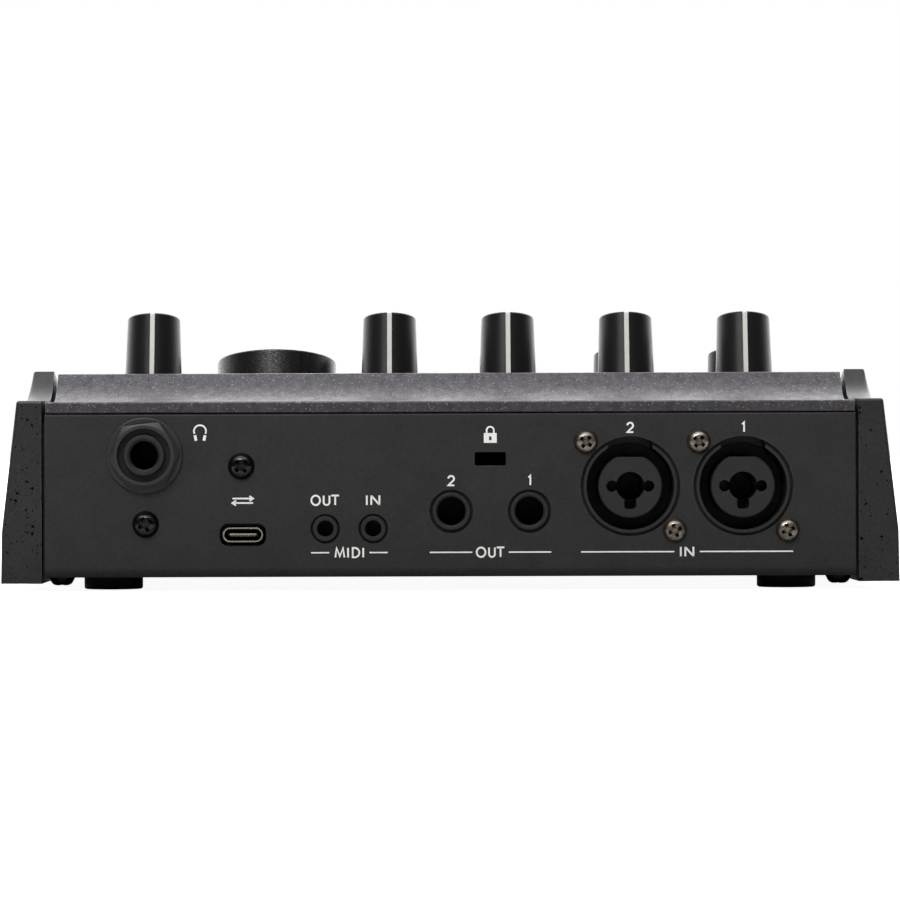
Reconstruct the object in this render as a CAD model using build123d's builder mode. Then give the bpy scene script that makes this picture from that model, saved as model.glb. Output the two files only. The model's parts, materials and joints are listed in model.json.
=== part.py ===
from build123d import *
import os
from math import cos, radians, sin, tan

# Desktop audio interface. Millimetres, +Z up, rear panel towards +Y.
# The origin is under the middle of the object, on the surface it stands on.

# ---- driving dimensions: case ----
overall_width = 200.8
case_depth = 150.0
nut_proud = 3.0  # how far the headphone nut stands out of the rear panel
rear_y = (case_depth - nut_proud) / 2
front_y = rear_y - case_depth
sheet = 1.2
bend = 2.0
floor_z = 3.2  # underside of the chassis tray
ledge_z = 42.5
ledge_depth = 21.0
ridge_depth = 35.0
ridge_z = 49.4
panel_tilt = 13.0
lip_height = 2.6
seam = 0.2
tray_half = 90.5
cover_half = 90.3
cover_front_y = front_y + 0.5
cover_edge = 0.8
lip_edge = 0.45
lip_foot_edge = 0.35
return_flange = 5.0
post_inset = (3.1, 9.0)  # of the tray's screws, from its sides and its ends

# ---- driving dimensions: cheeks ----
cheek_inner = 91.2
cheek_top_edge = 96.83
cheek_kink = (100.2, 13.4)  # X and Z where the outer face starts to lean in
cheek_bottom = 1.9
cheek_proud = 0.5
cheek_ledge_rise = 0.3  # of the cheeks above the cover's ledge
cheek_edge = 0.7
cheek_screw_sink = 5.0

# ---- driving dimensions: control panel, measured along X and down the slope ----
column_pitch = 27.7
columns = [(i - 2.5) * column_pitch for i in range(6)]
rear_row = 15.4
front_row = 50.3
button_row = 80.0
meter_row = 97.0
shaft_r = 3.0
shaft_play = 0.05
shaft_grip = 0.03  # play between a shaft and its knob
shaft_chamfer = 0.3
shaft_hole_r = 3.6
knob_gap = 0.5
knob_base_r = 6.7
knob_height = 16.5
knob_taper = 1.9
knob_edge = 0.6
pointer_width = 1.1
pointer_depth = 0.3
groove_corner = 0.2
shaft_in_knob = 12.0
shaft_tip_gap = 0.2
output_knob_r = 14.35
output_knob_height = 14.5
output_knob_edge = 0.5
output_knob_wall = 2.0
output_knob_hub_r = 6.0
output_knob_roof = 4.0
cap_size = (11.0, 7.0)
cap_corner = 1.0
cap_play = 0.3
cap_proud = 1.4
cap_travel = 0.8
cap_edge = 0.4
cap_collar = 1.0  # width and thickness of the rim that keeps a cap under the cover
cap_stem_r = 2.2
cap_stem_play = 0.2
cap_rest_gap = 0.4  # under the cover, when a cap is up
switch_size = 6.2
switch_height = 3.2
switch_corner = 0.4
pot_sizes = (9.8, 16.0)  # side lengths of the small ones and of the output one
pot_clearance = 0.4  # between a potentiometer and the cover
pot_floor = 1.0
pot_corner = 0.6
meter_size = (84.0, 5.0)
meter_corner = 1.0
meter_play = 0.15
meter_rim = 1.5
meter_proud = 0.2
board_depth = 8.0  # control board's top, below the cover's outer face
board_thick = 1.6

# ---- driving dimensions: rear panel, as (X, Z) ----
main_board_top = 10.4
combo_places = {1: (-65.45, 23.3), 2: (-40.25, 23.3)}
combo_hole_r = 11.15
combo_rim_r = 10.45
combo_bore_r = 9.8
combo_core_r = 7.15
combo_depth = 27.0
combo_width = 24.8
combo_rim_inset = 0.2
combo_core_inset = 0.8
combo_core_chamfer = 0.25
combo_screw_corners = [(9.9, 9.9), (-9.9, -9.9)]
combo_screw_turns = (52.0, 21.0)
combo_screw_hole = 8.0
plug_r = 3.2
line_out_places = {1: (-17.7, 17.8), 2: (-0.25, 17.8)}
midi_places = {"in": (17.2, 14.0), "out": (27.9, 14.0)}
phones_place = (68.2, 30.5)
usb_place = (46.3, 12.7)
lock_place = (-9.0, 29.5)
lock_size = (7.0, 3.0, 0.4)
line_hole_r = 4.9
midi_hole_r = 3.35
nose_inset = 0.3
mini_plug_r = 1.8
combo_cavity = 16.0
core_flat_z = 6.5
latch_width = 10.0
latch_height = 4.4
latch_depth = 9.0
latch_overlap = 0.5  # of the latch's slot with the bore
contact_side = (4.1, 1.28)  # how far off centre, and radius
contact_low = (3.9, 2.75, 2.5, 0.8)  # how far below centre, width, height and corner
contact_depth = 12.0
line_jack_size = (12.0, 24.6, 25.0)  # width, height above the origin and depth
line_nose_r = 4.3
midi_jack_size = (6.6, 17.6, 13.0)
midi_nose_r = 2.9
jack_floor = 1.0
jack_nose_edge = 0.3
line_mouth_chamfer = 0.35
midi_mouth_chamfer = 0.15
phones_body = 13.6
phones_body_depth = 26.0
phones_mouth_chamfer = 0.5
phones_ring_edge = 0.4
phones_thread_r = 5.95
phones_thread_proud = 1.2
phones_ring_r = 4.62
phones_ring_proud = 2.6
washer_r = 8.45
washer_thick = 0.8
washer_edge = 0.25
nut_flats = 14.0
nut_turn = 6.7
nut_face_inset = 0.3  # how far inside the flats the nut's round front face ends
usb_cutout = (10.4, 5.1, 2.0)
usb_outer = (8.94, 3.26)
usb_wall = 0.3
usb_depth = 7.3
usb_inset = 0.1
usb_back = 0.8
usb_leg = (1.2, 3.0)
usb_leg_depth = 5.0  # of the legs behind the rear panel
usb_leg_places = (-3.0, 3.0)
usb_tongue_size = (6.6, 0.75)
usb_tongue_inset = 1.0
usb_tongue_edge = 0.15
bracket_screw_places = [(68.0, 15.1), (46.6, 28.0)]

# ---- driving dimensions: boards ----
main_board_width = 164.0
main_board_ends = (rear_y - 3.0, 1.5)
control_board_width = 172.0
control_board_ends = (4.0, 100.0)  # down the slope from the ridge
phones_board_size = (35.0, 26.6)
phones_board_middle = (59.5, 24.5)
phones_board_depth = 9.0
phones_notch = (14.4, 16.4)  # in that board, round the socket's body
phones_notch_rise = 1.0
ribbon_width = 24.0
ribbon_thick = 0.6
ribbon_bend = 1.5
ribbon_plug = (27.0, 5.0, 3.0)
ribbon_y = 12.0
ribbon_leads = (3.0, 4.0)  # straight runs out of the upper and the lower plug

# ---- driving dimensions: fixings and underside ----
foot_places = [(x, y) for x in (-76.9, 76.9) for y in (rear_y - 25, front_y + 25)]
foot_r = 6.7
foot_edge = 0.6
post_r = 2.5
post_gap = 0.3  # under the sloping panel
standoff_r = 2.5
thread_play = 0.05
hole_play = 0.3
# head radius, head height, shank radius and shank length of each kind of screw
cheek_screw = (2.6, 1.8, 1.4, 5.5)
bottom_screw = (3.0, 1.9, 1.5, 7.0)
combo_screw = (2.72, 1.6, 1.2, 7.0)
bracket_screw = (3.0, 1.9, 1.2, 5.0)
board_screw = (2.5, 1.7, 1.2, 4.0)
post_places = [
    (side * (tray_half - post_inset[0]), y)
    for side in (-1, 1)
    for y in (rear_y - post_inset[1], front_y + post_inset[1])
]
standoff_places = [(x, y) for x in (-78.0, 78.0) for y in (36.0, 7.0)]
panel_standoff_places = [(x, down) for x in (-82.0, 82.0) for down in (24.0, 93.0)]
cheek_screw_places = [(rear_y - 20, 18.0), (rear_y - 75, 14.0), (front_y + 20, 10.0)]

ridge_y = rear_y - ridge_depth
ridge_to_front = ridge_y - cover_front_y
cover_front_z = ridge_z - ridge_to_front * tan(radians(panel_tilt))
panel_normal = Vector(0, -sin(radians(panel_tilt)), cos(radians(panel_tilt)))
panel = Plane((0, ridge_y, ridge_z), x_dir=(1, 0, 0), z_dir=panel_normal)

os.makedirs("parts", exist_ok=True)


def finish(part, name):
    part.label = name
    export_step(part, f"parts/{name}.step")


def on_panel(x, down, height=0.0):
    """Plane parallel to the control panel, down is the way from the ridge."""
    origin = panel.from_local_coords((x, -down, height))
    return Plane(origin, x_dir=panel.x_dir, z_dir=panel.z_dir)


def behind(depth, place=(0, 0)):
    """Plane at a depth inside the rear panel, centred on (X, Z), whose own Z runs into the case."""
    return Plane((place[0], rear_y - depth, place[1]), x_dir=(1, 0, 0), z_dir=(0, -1, 0))


def panel_z(y):
    return ridge_z - (ridge_y - y) * tan(radians(panel_tilt))


small_knobs = {
    "gain_knob_1": (columns[0], rear_row),
    "gain_knob_2": (columns[1], rear_row),
    "gain_knob_3": (columns[2], rear_row),
    "gain_knob_4": (columns[3], rear_row),
    "mix_knob_1": (columns[0], front_row),
    "mix_knob_2": (columns[1], front_row),
    "mix_knob_3": (columns[2], front_row),
    "mix_knob_4": (columns[3], front_row),
    "phones_knob": (columns[5], rear_row),
}
output_place = (columns[4], front_row)
button_places = {f"button_{i + 1}": (x, button_row) for i, x in enumerate(columns)}

# ---- chassis tray: floor, rear wall, front wall and side flanges, one folded sheet ----
lip_bottom = ledge_z - lip_height
tray_front_top = cover_front_z - lip_height - seam
# the side flanges' outline, stopped short of the cover all the way along
flange_y = (rear_y - 3, ridge_y + 2, ridge_y - 6, cover_front_y + 3)
flange_top = (lip_bottom - 2, lip_bottom - 2, panel_z(flange_y[2]) - 5, panel_z(flange_y[3]) - 5)
flange_cut_top = [z + 0.01 for z in flange_top]

with BuildPart() as chassis_tray:
    with BuildSketch(Plane.YZ):
        with BuildLine():
            Polyline(
                (rear_y - return_flange, lip_bottom - seam),
                (rear_y, lip_bottom - seam),
                (rear_y, floor_z),
                (cover_front_y, floor_z),
                (cover_front_y, tray_front_top),
                (cover_front_y + return_flange, tray_front_top),
            )
            offset(amount=sheet, side=Side.RIGHT, kind=Kind.INTERSECTION)
        make_face()
    extrude(amount=tray_half, both=True)
    outline = chassis_tray.edges().filter_by(Axis.X)
    rear_top = outline.group_by(Axis.Y)[-1].sort_by(Axis.Z)[-1]
    front_top = outline.group_by(Axis.Y)[0].sort_by(Axis.Z)[-1]
    fillet([rear_top, front_top], radius=lip_edge)
    fillet(chassis_tray.edges().filter_by(Axis.X).group_by(Axis.Z)[0], radius=bend)
    with BuildSketch(Plane.YZ):
        Polygon(
            (flange_y[0], floor_z),
            *zip(flange_y, flange_top),
            (flange_y[3], floor_z),
            align=None,
        )
    extrude(amount=cheek_inner, both=True)
    with BuildSketch(Plane.YZ):
        Polygon(
            (rear_y - sheet, floor_z + sheet),
            (rear_y - sheet, flange_top[0]),
            *zip(flange_y[1:], flange_cut_top[1:]),
            (cover_front_y + sheet, flange_top[3]),
            (cover_front_y + sheet, floor_z + sheet),
            align=None,
        )
    extrude(amount=cheek_inner - sheet, both=True, mode=Mode.SUBTRACT)
    with BuildSketch(behind(0)):
        with Locations(*combo_places.values()):
            Circle(combo_hole_r)
            with Locations(*combo_screw_corners):
                Circle(combo_screw[2] + hole_play)
        with Locations(*line_out_places.values()):
            Circle(line_hole_r)
        with Locations(*midi_places.values()):
            Circle(midi_hole_r)
        with Locations(phones_place):
            Circle(phones_thread_r + 2 * thread_play)
        with Locations(usb_place):
            RectangleRounded(*usb_cutout)
        with Locations(lock_place):
            RectangleRounded(*lock_size)
        with Locations(*bracket_screw_places):
            Circle(bracket_screw[2] + hole_play)
    extrude(amount=sheet, mode=Mode.SUBTRACT)
    with BuildSketch(Plane.XY.offset(floor_z)):
        with Locations(*post_places):
            Circle(bottom_screw[2] + hole_play)
    extrude(amount=sheet, mode=Mode.SUBTRACT)
    with BuildSketch(Plane.YZ):
        with Locations(*cheek_screw_places):
            Circle(cheek_screw[2] + hole_play)
    extrude(amount=cheek_inner, both=True, mode=Mode.SUBTRACT)
finish(chassis_tray.part, "chassis_tray")

# ---- top cover: rear lip, ledge, hollow riser, sloping control panel and front lip ----
with BuildPart() as top_cover:
    with BuildSketch(Plane.YZ):
        with BuildLine():
            rear_lip = Line((rear_y, lip_bottom), (rear_y, ledge_z))
            ledge = Line(rear_lip @ 1, (rear_y - ledge_depth, ledge_z))
            riser = TangentArc(ledge @ 1, (ridge_y, ridge_z), tangent=ledge % 1)
            slope = Line(riser @ 1, (cover_front_y, cover_front_z))
            Line(slope @ 1, (cover_front_y, cover_front_z - lip_height))
            offset(amount=sheet, side=Side.LEFT)
        make_face()
    extrude(amount=cover_half, both=True)
    along_x = top_cover.edges().filter_by(Axis.X)
    front_edge = along_x.group_by(Axis.Y)[0].sort_by(Axis.Z)[-1]
    fillet([along_x.sort_by(Axis.Z)[-1], front_edge], radius=cover_edge)
    lip_edges = top_cover.edges().filter_by(Axis.X).group_by(Axis.Y)[-1].sort_by(Axis.Z)
    fillet(lip_edges[-1], radius=lip_edge)
    fillet(lip_edges[0], radius=lip_foot_edge)
    with BuildSketch(panel):
        with Locations(*[(x, -down) for x, down in (*small_knobs.values(), output_place)]):
            Circle(shaft_hole_r)
        with Locations(*[(x, -down) for x, down in button_places.values()]):
            RectangleRounded(cap_size[0] + 2 * cap_play, cap_size[1] + 2 * cap_play, cap_corner + cap_play)
        with Locations((0, -meter_row)):
            RectangleRounded(*meter_size, meter_corner)
    extrude(amount=-2 * sheet, mode=Mode.SUBTRACT)
finish(top_cover.part, "top_cover")


# ---- side cheeks: cast pieces that follow the case's outline and flare downwards ----
def build_cheek(side):
    """side is +1 for the +X cheek, -1 for the -X one."""
    kink_x, kink_z = cheek_kink
    flare = (kink_x - cheek_top_edge) / (ledge_z - kink_z)
    above = ridge_z + 10
    with BuildPart() as cheek:
        with BuildSketch(Plane.YZ.offset(side * cheek_inner)):
            with BuildLine():
                back = Line((rear_y, cheek_bottom), (rear_y, ledge_z + cheek_ledge_rise))
                ledge = Line(back @ 1, (rear_y - ledge_depth, ledge_z + cheek_ledge_rise))
                riser = TangentArc(ledge @ 1, (ridge_y, ridge_z + cheek_proud), tangent=ledge % 1)
                front_top = (front_y, panel_z(front_y) + cheek_proud)
                Polyline(riser @ 1, front_top, (front_y, cheek_bottom), back @ 0)
            make_face()
        extrude(amount=side * (overall_width / 2 - cheek_inner))
        with BuildSketch(Plane.XZ):
            Polygon(
                (side * overall_width / 2, cheek_bottom),
                (side * kink_x, kink_z),
                (side * (kink_x - flare * (above - kink_z)), above),
                (side * (overall_width / 2 + 1), above),
                align=None,
            )
        extrude(amount=case_depth, both=True, mode=Mode.SUBTRACT)
        with BuildSketch(Plane.YZ.offset(side * cheek_inner)):
            with Locations(*cheek_screw_places):
                Circle(cheek_screw[2] + thread_play)
        extrude(amount=side * cheek_screw_sink, mode=Mode.SUBTRACT)
        upper = cheek.edges().filter_by(lambda e: e.center().Z > cheek_bottom + 0.1)
        lengthwise = upper.filter_by(lambda e: abs(e.tangent_at(0.5).X) < 0.3)
        outer = lengthwise.filter_by(lambda e: abs(e.center().X) > cheek_inner + 0.5)
        rims = [e for e in outer if abs(e.center().Z - kink_z) > 0.1]
        corners = cheek.edges().filter_by(Axis.X).group_by(Axis.Y)
        fillet([*rims, corners[-1].sort_by(Axis.Z)[-1]], radius=cheek_edge)
    return cheek.part


finish(build_cheek(-1), "side_cheek_left")
finish(build_cheek(1), "side_cheek_right")


# ---- screws, with a head's slope in degrees and its shape in shares of its height and radius ----
head_slope = 26.0
head_round = 0.8
cross_length = 1.12
cross_width = 0.32
cross_depth = 0.7


def build_pan_screw(head_r, head_height, shank_r, shank_length):
    """A cross-head screw whose head stands on the XY plane and whose shank points down."""
    with BuildPart() as screw:
        with BuildSketch():
            Circle(head_r)
        extrude(amount=head_height, taper=head_slope)
        fillet(screw.faces().sort_by(Axis.Z)[-1].edges(), radius=head_height * head_round)
        with BuildSketch():
            Circle(shank_r)
        extrude(amount=-shank_length)
        with BuildSketch(Plane.XY.offset(head_height)):
            Rectangle(head_r * cross_length, head_r * cross_width)
            Rectangle(head_r * cross_width, head_r * cross_length)
        extrude(amount=-head_height * cross_depth, mode=Mode.SUBTRACT)
    return screw.part


def facing_out(place, turn):
    """A seat on the rear panel that looks out of the case, turned about the way it looks."""
    plane = Plane((place[0], rear_y, place[1]), x_dir=(-1, 0, 0), z_dir=(0, 1, 0))
    return plane.location * Rotation(0, 0, turn)


def place_screws(screw, seats):
    with BuildPart() as group:
        with Locations(*seats):
            add(screw)
    return group.part


inside_flange = cheek_inner - sheet
cheek_screw_seats = [
    Plane((side * inside_flange, y, z), x_dir=(0, 1, 0), z_dir=(-side, 0, 0))
    for side in (-1, 1)
    for y, z in cheek_screw_places
]
finish(place_screws(build_pan_screw(*cheek_screw), cheek_screw_seats), "cheek_screws")

bottom_screw_seats = [
    Plane((x, y, floor_z), x_dir=(1, 0, 0), z_dir=(0, 0, -1)).location * Rotation(0, 0, 20 + 35 * i)
    for i, (x, y) in enumerate(post_places)
]
finish(place_screws(build_pan_screw(*bottom_screw), bottom_screw_seats), "bottom_screws")

combo_screw_seats = [
    facing_out((x + right, z + up), turn)
    for x, z in combo_places.values()
    for (right, up), turn in zip(combo_screw_corners, combo_screw_turns)
]
finish(place_screws(build_pan_screw(*combo_screw), combo_screw_seats), "combo_screws")

bracket_screw_seats = [facing_out(place, 25 + 15 * i) for i, place in enumerate(bracket_screw_places)]
finish(place_screws(build_pan_screw(*bracket_screw), bracket_screw_seats), "rear_panel_screws")

# ---- posts that tie the cover to the tray, and the feet ----
with BuildPart() as cover_posts:
    for x, y in post_places:
        top = ledge_z - sheet if y > 0 else panel_z(y - post_r) - sheet - post_gap
        with BuildSketch(Plane.XY.offset(floor_z + sheet)):
            with Locations((x, y)):
                Circle(post_r)
        extrude(amount=top - floor_z - sheet)
        with BuildSketch(Plane.XY.offset(floor_z + sheet)):
            with Locations((x, y)):
                Circle(bottom_screw[2] + thread_play)
        extrude(amount=bottom_screw[3], mode=Mode.SUBTRACT)
finish(cover_posts.part, "cover_posts")

with BuildPart() as rubber_feet:
    with BuildSketch(Plane.XY):
        with Locations(*foot_places):
            Circle(foot_r)
    extrude(amount=floor_z)
    fillet(rubber_feet.edges().group_by(Axis.Z)[0], radius=foot_edge)
finish(rubber_feet.part, "rubber_feet")

# ---- boards ----
with BuildPart() as main_board:
    with BuildSketch(Plane.XY.offset(main_board_top - board_thick)):
        with Locations((0, sum(main_board_ends) / 2)):
            Rectangle(main_board_width, main_board_ends[0] - main_board_ends[1])
        with Locations(*standoff_places):
            Circle(board_screw[2] + hole_play, mode=Mode.SUBTRACT)
    extrude(amount=board_thick)
finish(main_board.part, "main_board")

with BuildPart() as control_board:
    with BuildSketch(on_panel(0, sum(control_board_ends) / 2, -board_depth)):
        Rectangle(control_board_width, control_board_ends[1] - control_board_ends[0])
    extrude(amount=-board_thick)
    with BuildSketch(on_panel(0, 0, -board_depth)):
        with Locations(*[(x, -down) for x, down in panel_standoff_places]):
            Circle(board_screw[2] + hole_play)
    extrude(amount=-board_thick, mode=Mode.SUBTRACT)
finish(control_board.part, "control_board")

with BuildPart() as phones_board:
    with BuildSketch(behind(phones_board_depth)):
        with Locations(phones_board_middle):
            Rectangle(*phones_board_size)
        with Locations((phones_place[0], phones_place[1] + phones_notch_rise)):
            Rectangle(*phones_notch, mode=Mode.SUBTRACT)
        with Locations(*bracket_screw_places):
            Circle(board_screw[2] + hole_play, mode=Mode.SUBTRACT)
    extrude(amount=board_thick)
finish(phones_board.part, "phones_board")


def standoff(foot, height):
    """Adds a tapped hexagonal pillar to the open part, along foot's +Z."""
    with BuildSketch(foot) as pillar:
        RegularPolygon(standoff_r, 6, major_radius=False)
        Circle(board_screw[2] + thread_play, mode=Mode.SUBTRACT)
    extrude(pillar.sketch, amount=height)


with BuildPart() as board_standoffs:
    for x, y in standoff_places:
        height = main_board_top - board_thick - floor_z - sheet
        standoff(Plane((x, y, floor_z + sheet)), height)
    for place in bracket_screw_places:
        standoff(behind(sheet, place), phones_board_depth - sheet)
    for x, down in panel_standoff_places:
        standoff(on_panel(x, down, -board_depth), board_depth - sheet)
finish(board_standoffs.part, "board_standoffs")

board_screw_seats = [Plane((x, y, main_board_top)) for x, y in standoff_places]
board_screw_seats += [behind(phones_board_depth + board_thick, place) for place in bracket_screw_places]
board_screw_seats += [
    Plane(on_panel(x, down, -board_depth - board_thick).origin, x_dir=(1, 0, 0), z_dir=-panel_normal)
    for x, down in panel_standoff_places
]
finish(place_screws(build_pan_screw(*board_screw), board_screw_seats), "board_screws")

# ---- combined microphone and line input sockets ----
for number, place in combo_places.items():
    with BuildPart() as combo_housing:
        with BuildSketch(behind(sheet, place)):
            Rectangle(combo_width, 2 * (place[1] - main_board_top))
        extrude(amount=combo_depth - sheet)
        with BuildSketch(behind(combo_rim_inset, place)):
            Circle(combo_rim_r)
        extrude(amount=sheet - combo_rim_inset)
        with BuildSketch(behind(0, place)):
            Circle(combo_bore_r)
        extrude(amount=combo_cavity, mode=Mode.SUBTRACT)
        with BuildSketch(behind(0, place)):
            with Locations((0, combo_bore_r - latch_overlap)):
                Rectangle(latch_width, latch_height)
        extrude(amount=latch_depth, mode=Mode.SUBTRACT)
        with BuildSketch(behind(0, place)):
            Circle(plug_r)
        extrude(amount=combo_depth - jack_floor, mode=Mode.SUBTRACT)
        with BuildSketch(behind(sheet, place)):
            with Locations(*combo_screw_corners):
                Circle(combo_screw[2] + thread_play)
        extrude(amount=combo_screw_hole, mode=Mode.SUBTRACT)
    finish(combo_housing.part, f"combo_housing_{number}")

    with BuildPart() as combo_core:
        with BuildSketch(behind(combo_core_inset, place)):
            Circle(combo_core_r)
            with Locations((0, core_flat_z)):
                Rectangle(2 * combo_core_r, combo_core_r, align=(Align.CENTER, Align.MIN), mode=Mode.SUBTRACT)
            Circle(plug_r, mode=Mode.SUBTRACT)
        extrude(amount=combo_cavity - combo_core_inset)
        with BuildSketch(behind(combo_core_inset, place)):
            with Locations((-contact_side[0], 0), (contact_side[0], 0)):
                Circle(contact_side[1])
            with Locations((0, -contact_low[0])):
                RectangleRounded(*contact_low[1:])
        extrude(amount=contact_depth, mode=Mode.SUBTRACT)
        mouth = combo_core.faces().sort_by(Axis.Y)[-1]
        chamfer(mouth.outer_wire().edges(), length=combo_core_chamfer)
    finish(combo_core.part, f"combo_core_{number}")


# ---- jack sockets ----
def build_jack(place, body_size, nose_r, hole_r, mouth_chamfer):
    """A board-mounted socket: block on the main board with a round nose in the panel."""
    body_width, body_top, body_depth = body_size
    with BuildPart() as jack:
        middle = (place[0], (main_board_top + body_top) / 2)
        with BuildSketch(behind(sheet, middle)):
            Rectangle(body_width, body_top - main_board_top)
        extrude(amount=body_depth - sheet)
        with BuildSketch(behind(nose_inset, place)):
            Circle(nose_r)
        extrude(amount=sheet - nose_inset)
        with BuildSketch(behind(nose_inset, place)):
            Circle(hole_r)
        extrude(amount=body_depth - nose_inset - jack_floor, mode=Mode.SUBTRACT)
        rim = jack.faces().sort_by(Axis.Y)[-1]
        chamfer(rim.inner_wires()[0].edges(), length=mouth_chamfer)
        fillet(rim.outer_wire().edges(), radius=jack_nose_edge)
    return jack.part


for number, place in line_out_places.items():
    line_jack = build_jack(place, line_jack_size, line_nose_r, plug_r, line_mouth_chamfer)
    finish(line_jack, f"line_out_jack_{number}")
for way, place in midi_places.items():
    midi_jack = build_jack(place, midi_jack_size, midi_nose_r, mini_plug_r, midi_mouth_chamfer)
    finish(midi_jack, f"midi_jack_{way}")

with BuildPart() as headphone_jack:
    with BuildSketch(behind(sheet, phones_place)):
        Rectangle(phones_body, phones_body)
    extrude(amount=phones_body_depth)
    with BuildSketch(behind(-phones_thread_proud, phones_place)):
        Circle(phones_thread_r)
    extrude(amount=phones_thread_proud + sheet)
    with BuildSketch(behind(-phones_ring_proud, phones_place)):
        Circle(phones_ring_r)
    extrude(amount=phones_ring_proud + sheet)
    with BuildSketch(behind(-phones_ring_proud, phones_place)):
        Circle(plug_r)
    extrude(amount=phones_ring_proud + sheet + phones_body_depth - jack_floor, mode=Mode.SUBTRACT)
    ring = headphone_jack.faces().sort_by(Axis.Y)[-1]
    chamfer(ring.inner_wires()[0].edges(), length=phones_mouth_chamfer)
    fillet(ring.outer_wire().edges(), radius=phones_ring_edge)
finish(headphone_jack.part, "headphone_jack")

with BuildPart() as headphone_washer:
    with BuildSketch(behind(-washer_thick, phones_place)):
        Circle(washer_r)
        Circle(phones_thread_r + 2 * thread_play, mode=Mode.SUBTRACT)
    extrude(amount=washer_thick)
    outer_rim = headphone_washer.edges().group_by(Axis.Y)[-1].sort_by(SortBy.LENGTH)[-1]
    fillet(outer_rim, radius=washer_edge)
finish(headphone_washer.part, "headphone_washer")

with BuildPart() as headphone_nut:
    with BuildSketch(behind(-nut_proud, phones_place)):
        RegularPolygon(nut_flats / 2, 6, major_radius=False, rotation=-nut_turn)
    extrude(amount=nut_proud - washer_thick)
    with BuildSketch(behind(-nut_proud, phones_place)):
        Circle(nut_flats / 2 - nut_face_inset)
    extrude(amount=nut_proud - washer_thick, taper=-45, mode=Mode.INTERSECT)
    with BuildSketch(behind(-nut_proud, phones_place)):
        Circle(phones_thread_r + thread_play)
    extrude(amount=nut_proud - washer_thick, mode=Mode.SUBTRACT)
finish(headphone_nut.part, "headphone_nut")

# ---- digital socket ----
with BuildPart() as usb_shell:
    with BuildSketch(behind(usb_inset, usb_place)):
        SlotOverall(*usb_outer)
    extrude(amount=usb_depth)
    with BuildSketch(behind(usb_inset, usb_place)):
        SlotOverall(usb_outer[0] - 2 * usb_wall, usb_outer[1] - 2 * usb_wall)
    extrude(amount=usb_depth - usb_back, mode=Mode.SUBTRACT)
    with BuildSketch(Plane.XY.offset(main_board_top)):
        with Locations(*[(usb_place[0] + x, rear_y - usb_leg_depth) for x in usb_leg_places]):
            Rectangle(*usb_leg)
    extrude(amount=usb_place[1] - (usb_outer[1] - usb_wall) / 2 - main_board_top)
finish(usb_shell.part, "usb_shell")

with BuildPart() as usb_tongue:
    with BuildSketch(behind(usb_tongue_inset, usb_place)):
        Rectangle(*usb_tongue_size)
    extrude(amount=usb_depth - usb_back + usb_inset - usb_tongue_inset)
    fillet(usb_tongue.faces().sort_by(Axis.Y)[-1].edges(), radius=usb_tongue_edge)
finish(usb_tongue.part, "usb_tongue")

# ---- parts on the control board ----
pot_height = board_depth - sheet - pot_clearance


def build_pots(places, side_length):
    with BuildPart() as pots:
        for x, down in places:
            with BuildSketch(on_panel(x, down, -board_depth)):
                RectangleRounded(side_length, side_length, pot_corner)
            extrude(amount=pot_height)
            with BuildSketch(on_panel(x, down, -board_depth + pot_height)):
                Circle(shaft_r + shaft_play)
            extrude(amount=pot_floor - pot_height, mode=Mode.SUBTRACT)
    return pots.part


finish(build_pots(small_knobs.values(), pot_sizes[0]), "small_pots")
finish(build_pots([output_place], pot_sizes[1]), "output_pot")

with BuildPart() as button_switches:
    with BuildSketch(on_panel(0, 0, -board_depth)):
        with Locations(*[(x, -down) for x, down in button_places.values()]):
            RectangleRounded(switch_size, switch_size, switch_corner)
    extrude(amount=switch_height)
finish(button_switches.part, "button_switches")

with BuildPart() as meter_lens:
    meter_back = -sheet - thread_play
    with BuildSketch(on_panel(0, meter_row, meter_back)):
        RectangleRounded(*[size - 2 * meter_play for size in meter_size], meter_corner - meter_play)
    extrude(amount=meter_proud - meter_back)
    with BuildSketch(on_panel(0, meter_row, meter_back)):
        RectangleRounded(*[size + 2 * meter_rim for size in meter_size], meter_rim)
    extrude(amount=-meter_rim)
finish(meter_lens.part, "meter_lens")

# ---- flat cable between the boards, with its two plugs ----
with BuildPart() as ribbon_cable:
    cable_y = ribbon_y + 1
    board_back_z = panel_z(ribbon_y) - (board_depth + board_thick) / cos(radians(panel_tilt))
    upper = Vector(0, ribbon_y, board_back_z) - panel_normal * ribbon_plug[2]
    lead_end = upper - panel_normal * ribbon_leads[0]
    with BuildSketch(Plane.YZ.offset(-ribbon_width / 2)):
        with BuildLine():
            FilletPolyline(
                (upper.Y, upper.Z),
                (lead_end.Y, lead_end.Z),
                (cable_y, main_board_top + ribbon_plug[2] + ribbon_leads[1]),
                (cable_y, main_board_top + ribbon_plug[2]),
                radius=ribbon_bend,
            )
            offset(amount=ribbon_thick, side=Side.LEFT)
        make_face()
    extrude(amount=ribbon_width)
    with BuildSketch(Plane.XY.offset(main_board_top)):
        with Locations((0, cable_y)):
            Rectangle(*ribbon_plug[:2])
    extrude(amount=ribbon_plug[2])
    with BuildSketch(Plane((0, upper.Y, upper.Z), x_dir=(1, 0, 0), z_dir=panel_normal)):
        Rectangle(*ribbon_plug[:2])
    extrude(amount=ribbon_plug[2])
finish(ribbon_cable.part, "ribbon_cable")


# ---- knobs with their shafts ----
def build_shaft(x, down, height):
    """A shaft from the floor of its potentiometer up to a height above the panel."""
    foot = pot_floor + 2 * shaft_play - board_depth
    with BuildPart() as shaft:
        with BuildSketch(on_panel(x, down, foot)):
            Circle(shaft_r)
        extrude(amount=height - foot)
        chamfer(shaft.edges().filter_by(GeomType.CIRCLE), length=shaft_chamfer)
    return shaft.part


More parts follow.
